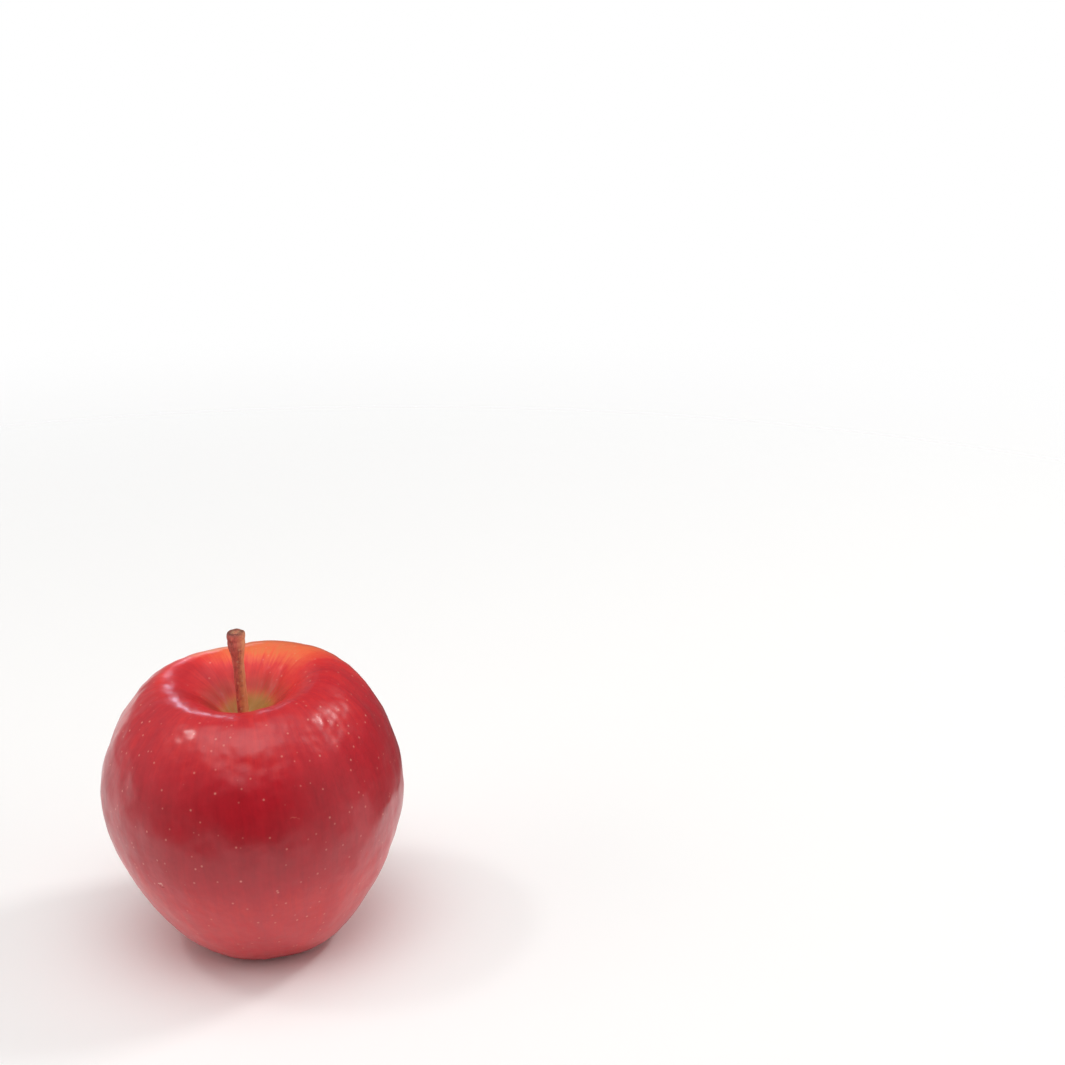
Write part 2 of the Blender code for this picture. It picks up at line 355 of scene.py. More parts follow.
def skinMaterial(marksAndShadow):
    # The thickness of the red blush picks the colour: a base, plus streaks and clouds, less in the paler
    # zones. A rose tint below that is painted reflection of the white floor, brown with painted shade round
    # the stem's throat, green, russet, dots, marks and a painted shadow under one nick lie over it, and
    # noises make the bump and the roughness
    look = skinLook
    constants = {"Coat Roughness": look["coatRoughness"], "IOR": 1.46, "Subsurface Weight": 0.06,
                 "Subsurface Scale": 0.002, "Subsurface Radius": (1.0, 0.25, 0.12)}
    material, wire, shader = startMaterial("appleSkin", constants)
    place = wire.node("ShaderNodeTexCoord", {}, {}, "Object")
    grain = wire.node("ShaderNodeAttribute", {"attribute_name": "grain"}, {}, "Vector")
    # cosine and sine of the turn, and 0 to 1 from stem to calyx
    eastward, northward, along = wire.apart(grain)

    def facing(degrees):
        # 1 where the skin faces this turn round the axis, -1 where it faces away
        angle = math.radians(degrees)
        return eastward * math.cos(angle) + northward * math.sin(angle)

    # clouds and specks, and streaks that run from stem to calyx
    wander = wire.noise(place, *look["cloudNoise"]) - 0.5
    fine = wire.noise(place, *look["fineNoise"])
    swayed = wire.shifted(grain, wire.swirl(place, look["swayScale"]), look["sway"])
    streak = wire.noise(wire.scaled(swayed, look["streakGrain"]), 1.0, 5.0, 0.62) - 0.5
    hair = wire.noise(wire.scaled(swayed, look["hairGrain"]), 1.0, 4.0, 0.65) - 0.5
    radial = wire.noise(wire.scaled(swayed, look["radialGrain"]), 1.0, 4.0, 0.65) - 0.5

    # the zones of the skin, each with an uneven edge
    patch = (facing(look["patchTurn"]) + wander * 0.7 + streak * 0.7).ease(*look["patchSide"])
    patch = patch * (along + wander * 0.10).ease(*look["patchFoot"])
    patch = patch * (along + radial * 0.05).ease(*look["patchTop"])
    shoulder = (facing(look["shoulderTurn"]) + wander * 0.7).ease(*look["shoulderSide"])
    shoulder = shoulder * along.ease(*look["shoulder"])
    crest = (facing(look["crestTurn"]) + wander * 0.4).ease(*look["crestSide"])
    crest = crest * (along + wander * 0.02).bell(*look["crest"])
    cavity = (along + wander * 0.03 + radial * 0.03).ease(*look["cavity"])
    basin = (along + wander * 0.03 + radial * 0.07).ease(*look["basin"])
    band = (along + wander * 0.08).ease(*look["bandTop"]) * (along + wander * 0.10).ease(*look["bandFoot"])
    wall = along.ease(*look["wall"])

    # how thick the red blush lies
    blush = look["blush"] + streak * look["streaks"] + hair * look["hairs"] + (fine - 0.5) * look["mottle"]
    blush = blush + wander * look["clouds"] + band * look["bandBlush"]
    blush = blush + along.ease(*look["foot"]) * look["footBlush"]
    blush = blush - patch * (along.ease(*look["back"]) * look["backFade"] + look["patchFade"])
    blush = blush - shoulder * look["shoulderFade"]
    blush = blush - wall * facing(look["wallTurn"]).ease(*look["wallSide"]) * look["wallFade"]
    blush = blush - crest * look["crestFade"] - cavity * 0.10 - basin * 0.62
    blush = blush + radial * (wall * 0.22 + basin * 0.5)
    colour = wire.node("ShaderNodeValToRGB", {"stops": look["ramp"]}, {0: blush})

    # a rose tint below, which is painted reflection of the white floor, and in the two hollows green, russet
    # and a brown ring round the stem's throat that is partly the skin's brown and partly painted shade
    # painted shade: a brown ring darkens the narrow throat round the stem, partly the skin's own brown
    shade = (along + wander * 0.03).bell(*look["throatRing"]) * (0.50 - radial * 1.1)
    # painted reflection: the white floor's glow on the lower skin, laid on as a rose tint
    paintedReflection = along.ease(*look["floorReflectionZone"]) * (0.42 + hair * 0.5 + streak * 0.4)
    colour = wire.tint(colour, look["floorReflectionPink"], paintedReflection)
    colour = wire.tint(colour, look["throatShadeBrown"], shade)
    green = (radial * 0.7 + facing(20.0) * 0.12 + cavity * 0.5).ease(0.0, 0.55) * cavity
    colour = wire.tint(colour, look["leafGreen"], green * 0.85)
    rust = radial.ease(0.02, -0.16) * (cavity * 0.25 + basin * 0.9)
    colour = wire.tint(colour, look["russet"], rust)

    # lenticels: pale dots where the cells of a three-dimensional pattern meet the skin
    cells = wire.node("ShaderNodeTexVoronoi", {"voronoi_dimensions": "3D"},
                      {"Vector": place, "Scale": 1.0 / (look["dotPitch"] * mm), "Randomness": 1.0})
    reach = look["dotRadius"] / look["dotPitch"]
    dot = cells.ease(reach, reach * 0.2)
    dotShare = (wander + 0.5).ease(0.25, 0.8) * 0.50 + 0.20
    colour = wire.tint(colour, look["dot"], dot * dotShare)

    # marks of handling, and a painted shadow under one nick, each around its own point; scar gathers them all
    # for the roughness
    reach = look["ragged"] * mm
    ragged = wire.shifted(place, wire.swirl(place, look["raggedScale"]), (reach, reach, reach))
    scar = None
    for mark in marksAndShadow:
        near = wire.distance(wire.scaled(ragged, mark["squash"]), mark["place"])
        near = near.ease(mark["size"] * mm, mark["size"] * mm * 0.5)
        colour = wire.tint(colour, mark["colour"], near * mark["share"])
        scar = near if scar is None else scar.math("MAXIMUM", scar, near)

    pores = wire.noise(place, *look["poreNoise"])
    dimples = wire.noise(place, *look["dimpleNoise"])
    height = dimples + fine * 0.16 + pores * 0.03
    sockets = {"Strength": 1.0, "Distance": look["bumpHeight"] * mm, "Height": height}
    bump = wire.node("ShaderNodeBump", {}, sockets)
    rough = wall * 0.22 + basin * 0.3 + look["roughness"] + (fine - 0.5) * 0.06 + dot * 0.08 + scar * 0.2
    rough = rough + wander * 0.05
    coat = (1.0 - wall * 0.9) * (1.0 - basin * 0.8) * look["coat"]
    connect(wire, shader, Base_Color=colour, Roughness=rough, Coat_Weight=coat, Normal=bump)
    return material


# rows and columns of the fruit, its two pits and the relief of its skin, in mm
bodyMesh = {
    "columns": 320, "cavityRows": 60, "flankRows": 150, "basinRows": 60, "pitRows": 10,
    "shoulder": 0.62, "heel": 2.45,  # polar angles between which the rows are spaced more widely
    "socketRadius": 1.62, "socketDepth": 3.9, "tubeRadius": 2.2, "tubeDepth": 3.0,  # for stem and stamens
    "swellHeight": 0.24, "swellLength": 19.0,     # broad unevenness of the flanks, in mm
    "dimpleHeight": 0.075, "dimpleLength": 7.5,
    "peelHeight": 0.024, "peelLength": 3.2,
    "grainHeight": 0.006, "grainLength": 1.5,
    "cavityRibs": 11, "cavityRibHeight": 0.16,
    "basinRibs": 10, "basinRibHeight": 0.28,
}


def fruitProfile():
    # One line from the floor of the stem's socket, over the shoulder and down the flank, to the calyx tube
    plan = bodyMesh
    start = angleAt(plan["socketRadius"], True)
    end = angleAt(plan["tubeRadius"], False)
    angles = np.concatenate((
        np.linspace(start, plan["shoulder"], plan["cavityRows"], endpoint=False),
        np.linspace(plan["shoulder"], plan["heel"], plan["flankRows"], endpoint=False),
        np.linspace(plan["heel"], end, plan["basinRows"]),
    ))
    radius, height = outline(angles)
    part = np.linspace(0.0, 1.0, plan["pitRows"], endpoint=False)
    rounding = np.sqrt(1.0 - (1.0 - part) ** 4)  # both pits have round floors
    pitRadius = plan["socketRadius"] * rounding
    pitHeight = height[0] - plan["socketDepth"] * (1.0 - part) ** 1.5
    tubeRadius = plan["tubeRadius"] * rounding
    tubeHeight = height[-1] + plan["tubeDepth"] * (1.0 - part) ** 1.5
    radius = np.concatenate((pitRadius[1:], radius, tubeRadius[:0:-1]))
    height = np.concatenate((pitHeight[1:], height, tubeHeight[:0:-1]))
    along = np.concatenate((np.full(len(part) - 1, start), angles, np.full(len(part) - 1, end))) / math.pi
    return radius, height, along


def skinRelief(points, turns, along):
    # Height of the skin over the smooth shape: broad swells, dimples and fine peel, with ribs in both hollows
    plan = bodyMesh
    flank = ease(along, 0.05, 0.16) * ease(along, 0.95, 0.84)
    relief = plan["swellHeight"] * waves(points, plan["swellLength"], 11) * flank
    upperFlank = 1.0 - 0.4 * ease(along, 0.45, 0.60)
    dimples = plan["dimpleHeight"] * waves(points, plan["dimpleLength"], 12)
    relief += dimples * (0.4 + 0.6 * flank) * upperFlank
    peel = plan["peelHeight"] * waves(points, plan["peelLength"], 13)
    relief += peel * (0.8 + 1.0 * bell(along - 0.24, 0.06))
    relief += plan["grainHeight"] * waves(points, plan["grainLength"], 15)
    sway = waves(points, 12.0, 14)
    cavityBand = ease(along, 0.018, 0.045) * ease(along, 0.14, 0.08)
    relief += plan["cavityRibHeight"] * cavityBand * np.cos(plan["cavityRibs"] * turns + 1.3 * sway)
    basinBand = ease(along, 0.87, 0.93) * ease(along, 0.995, 0.965)
    relief += plan["basinRibHeight"] * basinBand * np.cos(plan["basinRibs"] * turns + 0.8 * sway)
    return relief


turns = np.linspace(0.0, 2.0 * math.pi, bodyMesh["columns"], endpoint=False)
profileRadius, profileHeight, along = fruitProfile()
smoothBody = grown(ringed(profileRadius, profileHeight, turns))

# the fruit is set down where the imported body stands
bodyLow, bodyHigh = [np.array(corner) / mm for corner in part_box("apple_body")]
table = smoothBody[..., 2].min() + fruit["restFlat"]
middle = (smoothBody[..., :2].min(axis=(0, 1)) + smoothBody[..., :2].max(axis=(0, 1))) / 2.0
setDown = np.append((bodyLow[:2] + bodyHigh[:2]) / 2.0 - middle, bodyLow[2] - table)


def spotOnSkin(degrees, share):
    # The point of the skin at a turn round the axis and a share of the way from stem to calyx
    radius, height = outline(share * math.pi)
    angle = math.radians(degrees)
    return grown(np.array((radius * math.cos(angle), radius * math.sin(angle), height))) + setDown


skinMarksAndShadow = (  # turn in degrees, share of the way down, radius in mm, how flat, colour, strength, dent in mm
    (-120.5, 0.492, 1.1, 2.6, rgb(0.80, 0.42, 0.36), 0.70, 0.08),
    # painted shadow: a dark patch just under the pale nick of the row above
    (-119.7, 0.498, 0.9, 2.4, rgb(0.24, 0.010, 0.012), 0.45, 0.14),
    (-65.8, 0.359, 1.6, 6.0, rgb(0.66, 0.12, 0.09), 0.40, 0.03),
    (148.0, 0.37, 0.9, 1.6, rgb(0.36, 0.12, 0.05), 0.55, 0.10),
    (96.0, 0.61, 0.8, 0.7, rgb(0.40, 0.18, 0.07), 0.50, 0.06),
)


def makeFruit():
    # The smooth body, moved along its normals by the relief less a bell-shaped dent at each mark, and cut
    # flat where it stands
    dents = np.zeros(smoothBody.shape[:2])
    marksAndShadow = []
    for turn, share, size, flat, colour, strength, dent in skinMarksAndShadow:
        spot = spotOnSkin(turn, share)
        squash = np.array((1.0, 1.0, flat))
        away = np.linalg.norm((smoothBody + setDown - spot) * squash, axis=-1)
        dents -= dent * bell(away, size * 0.8)
        middle = (spot * mm + skinLook["ragged"] * mm / 2.0) * squash  # the ragged noise has a mean of a half
        marksAndShadow.append({"place": tuple(middle), "squash": tuple(squash), "size": size, "colour": colour,
                      "share": strength})
    relief = skinRelief(smoothBody, turns[None, :], along[:, None]) + dents
    grid = smoothBody + relief[..., None] * outward(smoothBody) + setDown
    grid[..., 2] = np.maximum(grid[..., 2], bodyLow[2])
    points, faces = closedTube(grid)
    grain = turnGrain(turns, along, (along[0], along[-1]))
    piece = makePiece("fruit", points, faces, skinMaterial(marksAndShadow), grain=grain)
    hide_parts("apple_body")
    return piece


makeFruit()
print("apple: fruit made")


# the stalk, in mm over the middle of the fruit, and the colours of its bark
stemShape = {
    "top": 48.8, "foot": 19.5, "rows": 150, "columns": 72,
    "knobRadius": 2.28, "knobLength": 5.6, "knobSteepness": 4.0, "neckRadius": 1.42, "edge": 0.50,
    "rimHeight": 0.14, "hollow": 0.30,
    "pinch": (0.13, 1.9, 0.6),  # depth, distance from the top and width of the waist under the rim
    "bumpHeight": 0.16,
    "bark": rgb(0.68, 0.145, 0.105), "barkDark": rgb(0.26, 0.045, 0.038), "barkGreen": rgb(0.82, 0.37, 0.165),
    "scar": rgb(0.66, 0.36, 0.18), "scarRim": rgb(0.12, 0.032, 0.025), "pip": rgb(0.80, 0.45, 0.28),
}


def stemMaterial():
    # Bark that darkens between its fibres, turns green towards the foot and has pale pips, and a pale scar
    # with a dark ring on top
    look = stemShape
    material, wire, shader = startMaterial("stemBark", {"IOR": 1.45})
    place = wire.node("ShaderNodeTexCoord", {}, {}, "Object")
    grain = wire.node("ShaderNodeAttribute", {"attribute_name": "grain"}, {}, "Vector")
    eastward, northward, drop = wire.apart(grain)  # drop is below 0 on the scar and 1 at the foot
    fibre = wire.noise(wire.scaled(grain, (7.0, 7.0, 3.5)), 1.0, 4.0, 0.65, 0.3)
    blotch = wire.noise(place, 700.0, 3.0, 0.65)
    speck = wire.noise(place, 1900.0, 2.0, 0.6)
    green = (eastward * 0.75 - northward * 0.15 + drop * 0.9 + (blotch - 0.5) * 1.1).ease(0.25, 1.15)
    colour = wire.tint(look["bark"], look["barkDark"], (fibre * 0.5 + blotch * 0.5).ease(0.56, 0.36) * 0.8)
    colour = wire.tint(colour, look["barkGreen"], green * 0.85)
    dark = (0.0 - eastward).ease(0.2, 1.0) * drop.ease(0.30, 0.10) * 0.55
    colour = wire.tint(colour, look["barkDark"], dark)
    pips = wire.node("ShaderNodeTexVoronoi", {"voronoi_dimensions": "3D"}, {"Vector": place, "Scale": 620.0})
    pip = pips.ease(0.26, 0.12)
    colour = wire.tint(colour, look["pip"], pip * 0.45)
    scar = drop.ease(-0.006, -0.016)
    rimmed = drop.bell(-0.006, 0.016)
    colour = wire.tint(colour, look["scar"], scar * (blotch * 0.6 + speck * 0.4).ease(0.40, 0.62))
    colour = wire.tint(colour, look["scarRim"], rimmed * speck.ease(0.20, 0.50) * 0.95)
    height = fibre * 0.8 + pip * 0.5 + speck * 0.25
    sockets = {"Strength": 0.9, "Distance": look["bumpHeight"] * mm, "Height": height}
    bump = wire.node("ShaderNodeBump", {}, sockets)
    connect(wire, shader, Base_Color=colour, Roughness=0.50 + fibre * 0.25, Normal=bump)
    return material


def makeStem():
    # A stalk of round sections: a knob that swells towards the top, pinched under its rim and bumped on one
    # side, fibres that twist down it, and a scar that is a hollow disc inside a low rounded rim
    plan = stemShape
    turns = np.linspace(0.0, 2.0 * math.pi, plan["columns"], endpoint=False)
    length = plan["top"] - plan["foot"]
    drop = length * np.linspace(0.0, 1.0, plan["rows"]) ** 1.25
    knob = np.exp(-((drop / plan["knobLength"]) ** plan["knobSteepness"]))
    radius = plan["neckRadius"] + (plan["knobRadius"] - plan["neckRadius"]) * knob
    radius = radius - plan["edge"] * (1.0 - np.sqrt(1.0 - np.clip(1.0 - drop / plan["edge"], 0.0, 1.0) ** 2))
    depth, level, width = plan["pinch"]
    radius = radius - depth * bell(drop - level, width)
    radius = radius[:, None] * np.ones(plan["columns"])
    radius += 0.20 * bell(drop - 3.4, 1.1)[:, None] * np.clip(np.cos(turns - 2.9), 0.0, 1.0) ** 2
    radius += 0.12 * bell(drop - 0.9, 0.7)[:, None] * np.clip(np.cos(turns - 3.4), 0.0, 1.0)
    fibres = 0.035 * np.cos(9.0 * turns + 0.16 * drop[:, None])
    fibres = fibres + 0.025 * np.cos(14.0 * turns - 0.1 * drop[:, None])
    radius = radius + fibres * ease(drop, 0.3, 2.0)[:, None]
    side = ringed(radius, plan["top"] - drop, turns)
    inward = np.linspace(0.05, 0.99, 16)
    dish = plan["rimHeight"] * bell(inward - 0.86, 0.12) - plan["hollow"] * (1.0 - inward**3) * 0.5
    rim = ringed(inward * (plan["knobRadius"] - plan["edge"]), plan["top"] + dish, turns)
    rim[..., 2] += 0.05 * waves(rim, 0.9, 23) * (inward < 0.8)[:, None]
    grid = np.concatenate((rim, side))
    grid[..., 2] += 0.04 * waves(grid, 1.6, 21)
    grid[..., :2] *= 1.0 + 0.025 * waves(grid, 3.0, 22)[..., None]
    depth = np.concatenate((-0.01 - 0.02 * (1.0 - inward), drop / length))
    points, faces = closedTube(grown(grid) + setDown)
    grain = turnGrain(turns, depth, (-0.03, 1.0))
    piece = makePiece("stalk", points, faces, stemMaterial(), grain=grain)
    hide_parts("stem")
    return piece


makeStem()
print("apple: stem made")


# one dried sepal, in mm, and where the five of them stand
sepalShape = {
    "count": 5, "turn": 0.2, "rows": 40, "columns": 17, "thickness": 0.32,
    "halfWidth": 2.0, "tipHalfWidth": 0.12, "bumpHeight": 0.15,
    "route": ((4.3, -0.1), (2.2, 1.2), (2.2, 3.6), (5.6, 3.9)),  # radius, and drop below the basin
    "rootRadius": 4.0,
    "brown": rgb(0.17, 0.095, 0.045), "grey": rgb(0.33, 0.25, 0.16), "vein": rgb(0.08, 0.040, 0.020),
}


def sepalMaterial():
    # Brown that turns grey in patches and towards the tip, with dark veins along the leaf
    look = sepalShape
    material, wire, shader = startMaterial("driedSepal", {"IOR": 1.4, "Sheen Weight": 0.3})
    place = wire.node("ShaderNodeTexCoord", {}, {}, "Object")
    grain = wire.node("ShaderNodeAttribute", {"attribute_name": "grain"}, {}, "Vector")
    upward = wire.apart(grain)[1]  # 0 at the root and 1 at the tip
    patch = wire.noise(place, 900.0, 4.0, 0.65)
    veins = wire.noise(wire.scaled(grain, (9.0, 1.2, 5.0)), 1.0, 3.0, 0.6)
    colour = wire.tint(look["brown"], look["grey"], (patch + upward * 0.3).ease(0.40, 0.85))
    colour = wire.tint(colour, look["vein"], veins.ease(0.52, 0.36) * 0.8)
    height = patch * 0.5 + veins * 0.8
    sockets = {"Strength": 0.8, "Distance": look["bumpHeight"] * mm, "Height": height}
    bump = wire.node("ShaderNodeBump", {}, sockets)
    connect(wire, shader, Base_Color=colour, Roughness=0.75 + patch * 0.2, Normal=bump)
    return material


def sepalSheet(number):
    # A leaf along a Bezier line that dips over the eye and curls back: as wide as its share of the ring, with
    # a midrib fold and a crinkled edge
    plan = sepalShape
    across = np.linspace(-1.0, 1.0, plan["columns"])[None, :]
    part = np.linspace(0.0, 1.0, plan["rows"])[:, None]
    corners = np.array(plan["route"])
    left = 1 - part
    weights = np.stack((left**3, 3 * part * left**2, 3 * part**2 * left, part**3), axis=-1)
    radius, drop = np.moveaxis(weights @ corners, -1, 0)
    half = plan["tipHalfWidth"] + (plan["halfWidth"] - plan["tipHalfWidth"]) * (1.0 - part**1.6)
    half = half * (1.0 + 0.05 * np.sin(11.0 * part + 2.0 * number))
    turn = plan["turn"] + 2.0 * math.pi * number / plan["count"] + across * half / radius
    fold = 0.22 * (1.0 - np.abs(across)) * np.sin(math.pi * part)
    crinkle = 0.12 * np.sin(9.0 * part + 3.0 * across + number) * np.abs(across) * part
    radius = radius + fold + crinkle
    floor = outline(angleAt(plan["rootRadius"], False))[1]
    height = floor - drop + 0.15 * np.abs(across) * np.sin(14.0 * part + number)
    points = np.stack(np.broadcast_arrays(radius * np.cos(turn), radius * np.sin(turn), height), axis=-1)
    grain = np.stack(np.broadcast_arrays(across, part, float(number)), axis=-1)
    return grown(points) + setDown, grain


def sheetFaces(rows, columns):
    # Quads of an open sheet of rows: each joins a point to the next in its row and to the two below
    row, column = np.meshgrid(np.arange(rows - 1), np.arange(columns - 1), indexing="ij")
    here = row * columns + column
    return np.stack((here, here + columns, here + columns + 1, here + 1), axis=-1).reshape(-1, 4)


def makeSepals():
    # Five sheets, each thickened evenly to both sides
    plan = sepalShape
    material = sepalMaterial()
    for number in range(plan["count"]):
        grid, grain = sepalSheet(number)
        faces = sheetFaces(plan["rows"], plan["columns"]).tolist()
        points = grid.reshape(-1, 3)
        piece = makePiece("sepal%d" % (number + 1), points, faces, material, grain=grain.reshape(-1, 3))
        wall = piece.modifiers.new("leafThickness", "SOLIDIFY")
        wall.thickness = plan["thickness"] * mm
        wall.offset = 0.0
        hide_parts("sepal_%d" % (number + 1))


makeSepals()
print("apple: sepals made")


# the threads in the calyx tube, in mm
stamenShape = {
    "count": 20, "styles": 5, "rows": 14, "columns": 7, "filamentRadius": 0.11, "styleRadius": 0.17,
    "length": 4.4, "spread": 1.35, "tubeDepth": 2.6, "tipRadius": 0.26,
    "dark": rgb(0.055, 0.030, 0.018), "pale": rgb(0.20, 0.12, 0.06), "bumpHeight": 0.08,
}


def stamenMaterial():
    # Dark brown with paler patches
    look = stamenShape
    material, wire, shader = startMaterial("driedStamens", {"IOR": 1.4, "Sheen Weight": 0.2})
    place = wire.node("ShaderNodeTexCoord", {}, {}, "Object")
    patch = wire.noise(place, 1500.0, 3.0, 0.6)
    colour = wire.tint(look["dark"], look["pale"], patch.ease(0.4, 0.75))
    sockets = {"Strength": 0.6, "Distance": look["bumpHeight"] * mm, "Height": patch}
    bump = wire.node("ShaderNodeBump", {}, sockets)
    connect(wire, shader, Base_Color=colour, Roughness=0.7 + patch * 0.25, Normal=bump)
    return material


def makeStamens():
    # A brush of thin bent threads round five thicker styles: each starts in the tube, splays as it falls
    # and ends in a small swollen head
    plan = stamenShape
    draw = np.random.default_rng(31)
    total = plan["count"] + plan["styles"]
    isStyle = np.arange(total) >= plan["count"]
    ring = np.where(isStyle, plan["styles"], plan["count"])
    angle = 2.0 * math.pi * np.arange(total) / ring + draw.uniform(-0.15, 0.15, total)
    rootRadius = np.where(isStyle, 0.35, 1.15)
    tipRadius = np.where(isStyle, 0.45, plan["spread"]) + draw.uniform(-0.15, 0.15, total)
    length = plan["length"] * np.where(isStyle, 0.95, 1.0) * draw.uniform(0.8, 1.05, total)
    twist = draw.uniform(-0.5, 0.5, total)
    top = outline(angleAt(bodyMesh["tubeRadius"], False))[1] + plan["tubeDepth"]
    part = np.linspace(0.0, 1.0, plan["rows"])
    threadTurns = np.linspace(0.0, 2.0 * math.pi, plan["columns"], endpoint=False)
    allPoints, allFaces, used = [], [], 0
    for k in range(total):
        lineTurn = angle[k] + twist[k] * part**2
        lineRadius = between(rootRadius[k], tipRadius[k], part**1.5) + 0.12 * np.sin(5.0 * part + k)
        head = bell(part - 0.94, 0.07) * (plan["tipRadius"] - plan["filamentRadius"])
        thick = plan["filamentRadius"] + head
        if isStyle[k]:
            thick = plan["styleRadius"] + head * 0.4
        thick = thick * np.sqrt(np.clip(1.0 - ((part - 0.96) / 0.04).clip(0.0, 0.98) ** 2, 0.02, 1.0))
        centre = (lineRadius * np.cos(lineTurn), lineRadius * np.sin(lineTurn), top - length[k] * part)
        centre = np.stack(centre, axis=-1)
        thread = centre[:, None, :] + ringed(thick, np.zeros(plan["rows"]), threadTurns)
        points, faces = closedTube(grown(thread) + setDown, used)
        allPoints.append(points)
        allFaces += faces
        used += len(points)
    piece = makePiece("stamens", np.concatenate(allPoints), allFaces, stamenMaterial())
    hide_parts("stamen_tuft")


makeStamens()
print("apple: stamens made")


# floor, light and camera, in metres and degrees
studio = {
    "floorRadius": 3.0, "floorCorners": 64, "floorColour": rgb(0.94, 0.937, 0.933),
    "fadeFrom": 0.12, "fadeTo": 0.80,  # distances between which the floor fades away
    "lamps": (  # name, size, place, radiance, whether the gloss shows it
        ("softboxMain", (0.80, 0.45), (0.0, -0.30, 1.0), 0.6, True),
        ("softboxLeft", (0.20, 0.10), (-0.60, 0.02, 0.97), 20.0, True),
        ("softboxRight", (0.24, 0.14), (0.82, 0.40, 0.90), 34.0, True),
        ("fillTop", (1.6, 1.6), (0.0, -0.2, 1.5), 0.72, False),
        ("fillLeft", (1.2, 1.0), (-1.2, -0.5, 0.55), 0.80, False),
        ("fillRight", (1.2, 1.0), (1.2, -0.5, 0.55), 0.72, False),
    ),
    "lampColour": (1.0, 0.985, 0.965),
    "aim": (0.0, 0.0, 0.04),
    "ceiling": 1.6, "ceilingEdge": (0.62, 0.92), "ceilingBack": 0.5, "ceilingSides": 0.33,
    "wall": 0.26, "sideRise": 0.14, "leftRise": 0.06, "frontFall": 0.22, "frontEdge": (0.3, 0.9),
    "below": 0.9, "belowEdge": (0.0, -0.05),
    "cardColumns": 49, "cardRadius": 0.10, "cardTop": 0.080,
    "cardBright": 1.15, "cardDark": 0.04, "cardSide": 0.50,
    "cardLow": (0.045, -0.004), "screenLow": (0.06, 0.0),  # heights over which the foot's glow fades
    "screenRadius": 0.115, "screenTop": 0.20, "screenBright": 0.15, "screenDark": 0.12,
    "windowRadius": 1.1, "windowFoot": 0.48, "windowTop": 0.63, "windowLight": rgb(8.2, 9.6, 12.2),
    "windowSpread": (-0.16, 0.11),  # where across the window it is brightest, and how wide
    # the arc of each card, in degrees clockwise from +Y, and how softly its ends fade
    "cardArc": (96.0, 266.0, 15.0), "screenArc": (-19.0, 92.0, 12.0), "windowArc": (-32.0, 16.0, 5.0),
    "cameraPlace": (0.0716, -0.3931, 0.2359), "cameraTilt": 72.0, "lens": 57.1, "sensor": 36.0,
}


def makeFloor():
    # A white disc that fades away into the white of the room, so that it shows no edge
    corners = studio["floorCorners"]
    turns = np.linspace(0.0, 2.0 * math.pi, corners, endpoint=False)
    mesh = bpy.data.meshes.new("floor")
    rim = np.stack((np.cos(turns), np.sin(turns), np.zeros(corners)), axis=-1) * studio["floorRadius"]
    mesh.from_pydata(rim.tolist(), [], [list(range(corners))])
    material, wire, shader = startMaterial("floorPaper", {"Roughness": 0.9, "Specular IOR Level": 0.1})
    shader.inputs["Base Color"].default_value = studio["floorColour"]
    place = wire.node("ShaderNodeTexCoord", {}, {}, "Object")
    gone = wire.distance(place, (0.0, 0.0, 0.0)).ease(studio["fadeFrom"], studio["fadeTo"])
    clear = wire.node("ShaderNodeBsdfTransparent", {}, {})
    blend(wire, gone, Wire(wire.tree, shader.outputs[0]), clear)
    mesh.materials.append(material)
    floor = bpy.data.objects.new("floor", mesh)
    bpy.context.scene.collection.objects.link(floor)


def makeWorld():
    # A room with a bright ceiling, dim walls that are darkest in front, and white below
    world = bpy.data.worlds.new("studio")
    world.use_nodes = True
    bpy.context.scene.world = world
    wire = Wire(world.node_tree)
    way = wire.node("ShaderNodeTexCoord", {}, {}, "Generated")
    sideways, depth, upward = wire.apart(way)
    ceiling = upward - depth.math("MAXIMUM", depth, 0.0) * studio["ceilingBack"]
    ceiling = ceiling - sideways.math("ABSOLUTE", sideways) * studio["ceilingSides"]
    ceiling = ceiling.ease(*studio["ceilingEdge"])
    front = (0.0 - depth).ease(*studio["frontEdge"])
    side = sideways * sideways
    walls = studio["wall"] + side * studio["sideRise"] - sideways * studio["leftRise"]
    walls = walls - front * studio["frontFall"]
    strength = walls * (1.0 - ceiling) + ceiling * studio["ceiling"]
    below = upward.ease(*studio["belowEdge"])
    strength = strength * (1.0 - below) + below * studio["below"]
    seen = wire.node("ShaderNodeLightPath", {}, {}, "Is Camera Ray")
    strength = strength * (1.0 - seen) + seen * 1.0
    background = world.node_tree.nodes["Background"]
    background.inputs["Color"].default_value = rgb(1.0, 1.0, 1.0)
    wire.tree.links.new(strength.socket, background.inputs["Strength"])


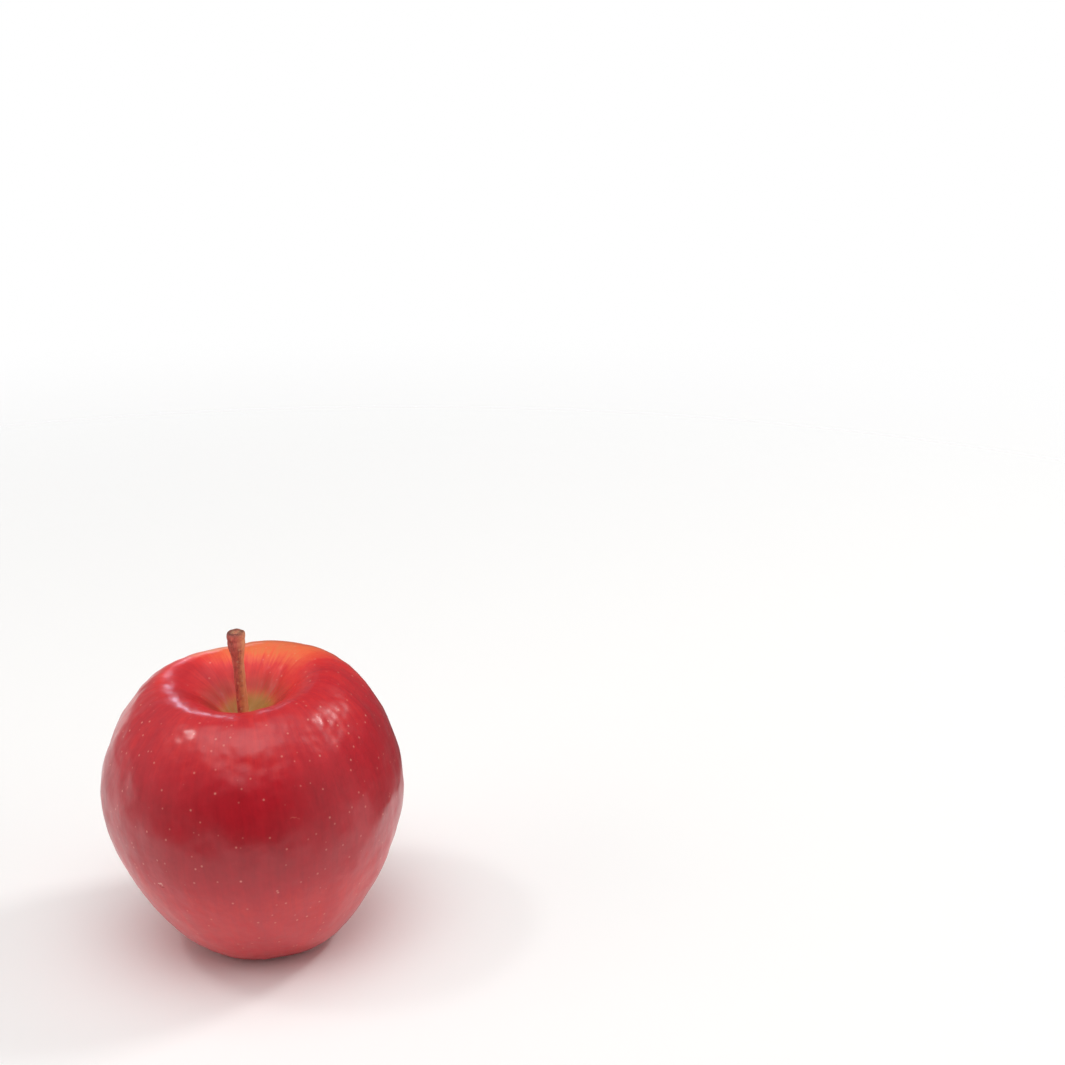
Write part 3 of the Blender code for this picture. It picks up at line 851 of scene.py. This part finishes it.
def makeCard(name, radius, foot, top, arc, glow):
    # An upright arc around the fruit that only its gloss can see: it shades what the skin reflects, and
    # fades away at its ends and towards its top
    first, last, soft = arc
    columns = studio["cardColumns"]
    angles = np.radians(90.0 - np.linspace(first, last, columns))
    height = np.array((foot, top))[:, None]
    grid = np.stack(np.broadcast_arrays(radius * np.cos(angles), radius * np.sin(angles), height), axis=-1)
    mesh = bpy.data.meshes.new(name)
    mesh.from_pydata(grid.reshape(-1, 3).tolist(), [], sheetFaces(2, columns).tolist())
    material, wire, shader = startMaterial(name, {"Roughness": 1.0, "Specular IOR Level": 0.0})
    shader.inputs["Base Color"].default_value = rgb(0.0, 0.0, 0.0)
    shader.inputs["Emission Strength"].default_value = 1.0
    x, y, z = wire.apart(wire.node("ShaderNodeTexCoord", {}, {}, "Object"))
    connect(wire, shader, Emission_Color=glow(x, z))
    middle, half, fade = np.radians(((first + last) / 2.0, (last - first) / 2.0, soft))
    facing = (x * math.sin(middle) + y * math.cos(middle)) / radius
    solid = facing.ease(math.cos(half), math.cos(half - fade)) * z.ease(top, top * 0.7 + foot * 0.3)
    clear = wire.node("ShaderNodeBsdfTransparent", {}, {})
    blend(wire, solid, clear, Wire(wire.tree, shader.outputs[0]))
    material.cycles.emission_sampling = "NONE"
    mesh.materials.append(material)
    card = bpy.data.objects.new(name, mesh)
    card.visible_camera = False
    card.visible_diffuse = False
    card.visible_shadow = False
    card.visible_transmission = False
    bpy.context.scene.collection.objects.link(card)


def frontGlow(x, z):
    # Bright at its foot, dark above, and less dark at its two ends
    low = z.ease(*studio["cardLow"])
    side = (x / studio["cardRadius"]) ** 2.0
    upper = side * studio["cardSide"] + studio["cardDark"]
    light = upper * (1.0 - low) + low * studio["cardBright"]
    return x.tint(rgb(0.0, 0.0, 0.0), rgb(1.0, 1.0, 1.0), light)


def screenGlow(x, z):
    # Dim, and a little lighter at its foot
    low = z.ease(*studio["screenLow"])
    light = low * (studio["screenBright"] - studio["screenDark"]) + studio["screenDark"]
    return x.tint(rgb(0.0, 0.0, 0.0), rgb(1.0, 1.0, 1.0), light)


def windowGlow(x, z):
    # Cool daylight, softer towards its sides
    light = (x / studio["windowRadius"]).bell(*studio["windowSpread"])
    return x.tint(rgb(0.0, 0.0, 0.0), studio["windowLight"], light)


def makeLamps():
    # Flat lamps that face the fruit, each with the power that gives its radiance over its area
    for name, size, place, radiance, glossy in studio["lamps"]:
        data = bpy.data.lights.new(name, "AREA")
        data.shape = "RECTANGLE"
        data.size, data.size_y = size
        data.energy = radiance * math.pi * size[0] * size[1]
        data.color = studio["lampColour"]
        lamp = bpy.data.objects.new(name, data)
        lamp.location = place
        away = Vector(place) - Vector(studio["aim"])
        lamp.rotation_euler = away.to_track_quat("Z", "Y").to_euler()
        lamp.visible_camera = False
        lamp.visible_glossy = glossy
        bpy.context.scene.collection.objects.link(lamp)


def makeCamera():
    # A camera a little above the fruit, tilted down towards it
    data = bpy.data.cameras.new("camera")
    data.lens = studio["lens"]
    data.sensor_width = studio["sensor"]
    data.clip_start = 0.01
    camera = bpy.data.objects.new("camera", data)
    camera.location = studio["cameraPlace"]
    camera.rotation_euler = (math.radians(studio["cameraTilt"]), 0.0, 0.0)
    bpy.context.scene.collection.objects.link(camera)
    bpy.context.scene.camera = camera


makeFloor()
makeWorld()
makeCard("frontCard", studio["cardRadius"], 0.0, studio["cardTop"], studio["cardArc"], frontGlow)
makeCard("rightScreen", studio["screenRadius"], 0.0, studio["screenTop"], studio["screenArc"], screenGlow)
makeCard("backWindow", studio["windowRadius"], studio["windowFoot"], studio["windowTop"], studio["windowArc"],
         windowGlow)
makeLamps()
makeCamera()
bpy.context.scene.view_settings.view_transform = "Standard"
print("apple: studio ready")
